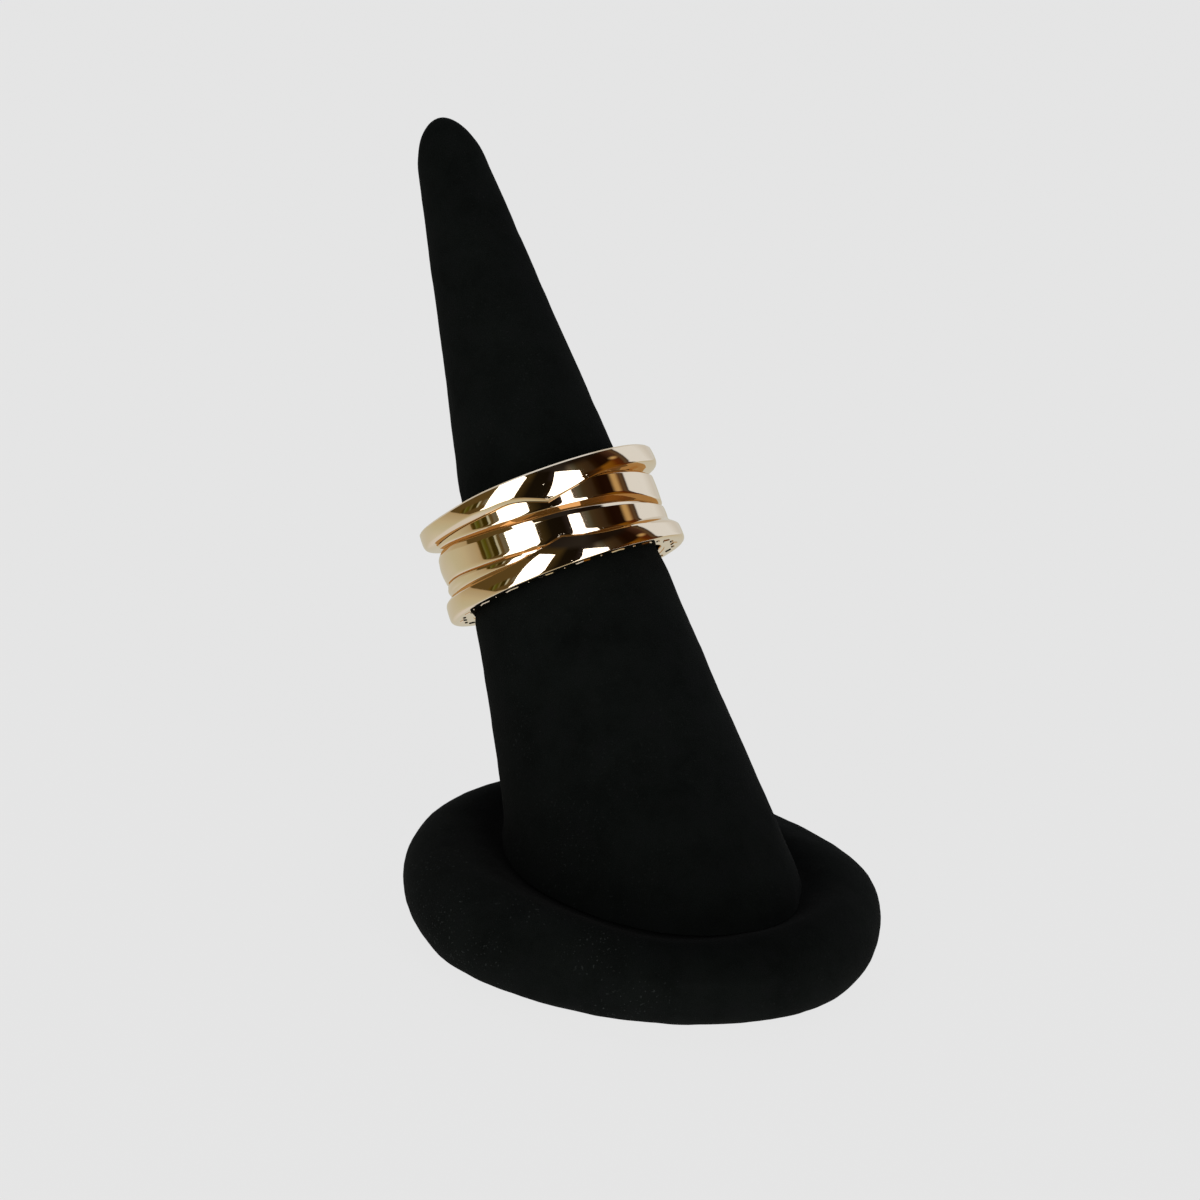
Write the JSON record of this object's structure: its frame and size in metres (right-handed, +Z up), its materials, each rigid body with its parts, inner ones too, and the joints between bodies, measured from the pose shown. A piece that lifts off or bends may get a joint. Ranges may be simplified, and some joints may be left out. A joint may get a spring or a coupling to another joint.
{
  "type": "triple band ring on finger cone stand",
  "caption": "Polished ring of stacked bands, a spiral held between rims whose edges kink at the front, worn over a leaning velvet finger cone on a round base.",
  "frame": {"origin": "centre of the base's flat underside, on the surface that the stand rests on", "axes": "+Z up from the surface, +Y the way the cone leans, +X to the right seen from behind the lean"},
  "size_m": [0.0428, 0.0632, 0.0638],
  "materials": {
    "gold": "polished rose gold, 18 carat",
    "velvet": "near-black short-pile velvet"
  },
  "bodies": {
    "root": {"upper_rim": "gold", "spiral_band": "gold", "lower_rim": "gold", "inner_band": "gold", "finger_cone": "velvet", "stand_base": "velvet"}
  },
  "joints": []
}
